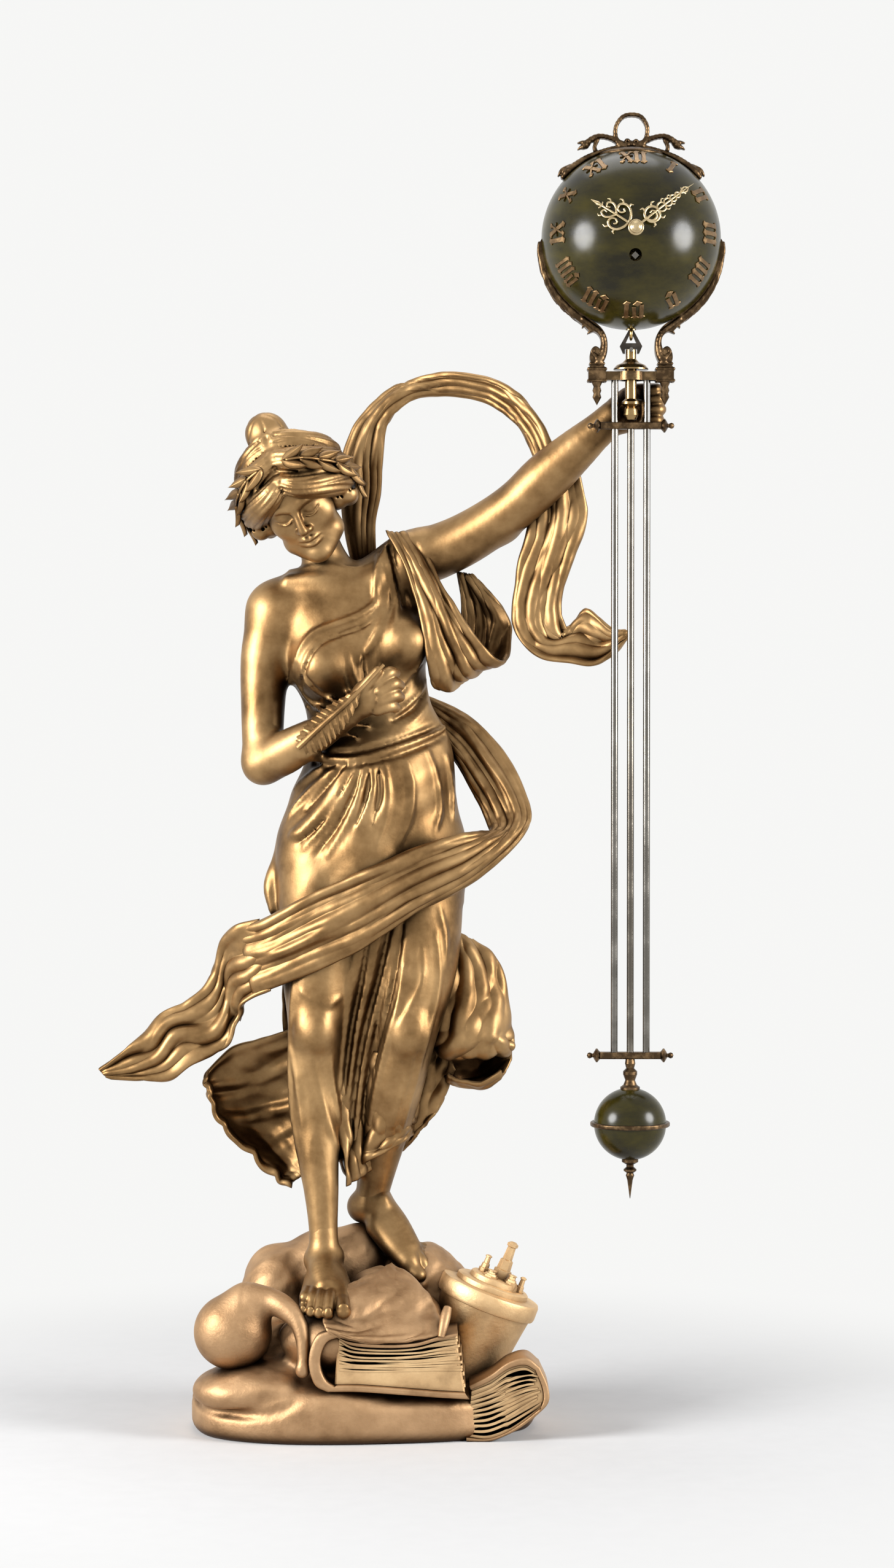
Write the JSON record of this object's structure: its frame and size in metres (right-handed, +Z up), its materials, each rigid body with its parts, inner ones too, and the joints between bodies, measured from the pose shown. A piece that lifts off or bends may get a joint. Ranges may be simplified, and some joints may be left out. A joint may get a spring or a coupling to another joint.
{
  "type": "mystery clock",
  "caption": "Free-standing gilt figure on a rocky base holding up a post, from which a ball clock with a long gridiron pendulum swings on a pin.",
  "frame": {"origin": "centre of the base's flat underside, on the shelf it stands on", "axes": "+Z up, +X to the viewer's right, towards the ball, and -Y out of the front of the figure and the dial"},
  "size_m": [0.4036, 0.2048, 0.862],
  "materials": {
    "gilt_bronze": "satin gilding over cast metal, brown in the recesses",
    "brown_bronze": "brown patina with worn gilt highs",
    "polished_brass": "polished",
    "aged_brass": "dark aged cast brass",
    "copper_gold": "satin raised trim",
    "green_lacquer": "dark olive gloss lacquer",
    "bright_steel": "bright",
    "blued_steel": "dark blued",
    "lead": "dull cast filling"
  },
  "bodies": {
    "statue": {"base_casting": "brown_bronze", "retort_flask": "brown_bronze", "front_book": "brown_bronze", "lower_book": "brown_bronze", "tilted_drum": "brown_bronze", "right_leg": "gilt_bronze", "left_leg": "gilt_bronze", "torso_casting": "gilt_bronze", "head_casting": "gilt_bronze", "hair_casting": "gilt_bronze", "laurel_wreath": "gilt_bronze", "bent_arm": "gilt_bronze", "quill_feather": "gilt_bronze", "raised_arm": "gilt_bronze", "pivot_post": "polished_brass", "raised_hand": "gilt_bronze", "skirt_drape": "gilt_bronze", "left_cape": "gilt_bronze", "right_cape": "gilt_bronze", "hip_sash": "gilt_bronze", "sash_tail": "gilt_bronze", "sleeve_drape": "gilt_bronze", "scarf_arch": "gilt_bronze", "scarf_tail": "gilt_bronze"},
    "pendulum": {"pivot_pin": "bright_steel", "suspension_stirrup": "blued_steel", "suspension_eye": "polished_brass", "crosshead": "polished_brass", "side_rods": "bright_steel", "centre_rod": "aged_brass", "upper_crossbar": "aged_brass", "lower_crossbar": "aged_brass", "crossbar_knobs": "aged_brass", "bob_neck": "aged_brass", "bob_upper_shell": "green_lacquer", "bob_lower_shell": "green_lacquer", "bob_ring": "aged_brass", "bob_spike": "aged_brass", "bob_weight": "lead", "globe_front_shell": "green_lacquer", "globe_rear_shell": "green_lacquer", "hour_numerals": "copper_gold", "bow_ornament": "aged_brass", "left_bracket": "aged_brass", "right_bracket": "aged_brass", "front_plate": "polished_brass", "back_plate": "polished_brass"},
    "minute_train": {"centre_wheel": "polished_brass", "minute_hand": "polished_brass", "hand_nut": "polished_brass"},
    "hour_train": {"hour_wheel": "polished_brass", "hour_hand": "polished_brass"},
    "motion_work": {"motion_wheel": "polished_brass"},
    "barrel": {"mainspring_barrel": "polished_brass", "mainspring": "blued_steel"},
    "winding": {"winding_arbor": "bright_steel"},
    "third": {"third_wheel": "polished_brass"},
    "escape": {"escape_wheel": "polished_brass"},
    "anchor": {"pallet_anchor": "bright_steel", "inner_pendulum": "polished_brass"}
  },
  "joints": [
    {"name": "pendulum_swing", "type": "hinge", "parent": "statue", "child": "pendulum", "pos_m": [0.17, -0.06, 0.709], "axis": [0, 1, 0], "range_deg": [-2.5, 2.5]},
    {"name": "minute_turn", "type": "hinge", "parent": "pendulum", "child": "minute_train", "pos_m": [0.17, -0.06, 0.78], "axis": [0, 1, 0], "continuous": true},
    {"name": "hour_turn", "type": "hinge", "parent": "pendulum", "child": "hour_train", "pos_m": [0.17, -0.06, 0.78], "axis": [0, 1, 0], "continuous": true},
    {"name": "motion_turn", "type": "hinge", "parent": "pendulum", "child": "motion_work", "pos_m": [0.1784, -0.06, 0.78], "axis": [0, 1, 0], "continuous": true},
    {"name": "barrel_turn", "type": "hinge", "parent": "pendulum", "child": "barrel", "pos_m": [0.17, -0.06, 0.7635], "axis": [0, 1, 0], "continuous": true},
    {"name": "winding_turn", "type": "hinge", "parent": "pendulum", "child": "winding", "pos_m": [0.17, -0.06, 0.7635], "axis": [0, 1, 0], "continuous": true},
    {"name": "third_turn", "type": "hinge", "parent": "pendulum", "child": "third", "pos_m": [0.18115, -0.06, 0.79021], "axis": [0, 1, 0], "continuous": true},
    {"name": "escape_turn", "type": "hinge", "parent": "pendulum", "child": "escape", "pos_m": [0.17, -0.06, 0.798], "axis": [0, 1, 0], "continuous": true},
    {"name": "anchor_swing", "type": "hinge", "parent": "pendulum", "child": "anchor", "pos_m": [0.17, -0.06, 0.81], "axis": [0, 1, 0], "range_deg": [-3, 3]}
  ],
  "couplings": [
    {"joint": "hour_turn", "follows": "minute_turn", "ratio": 0.083333},
    {"joint": "motion_turn", "follows": "minute_turn", "ratio": -0.33333},
    {"joint": "barrel_turn", "follows": "minute_turn", "ratio": -0.16667},
    {"joint": "third_turn", "follows": "minute_turn", "ratio": -8},
    {"joint": "escape_turn", "follows": "minute_turn", "ratio": 60}
  ]
}
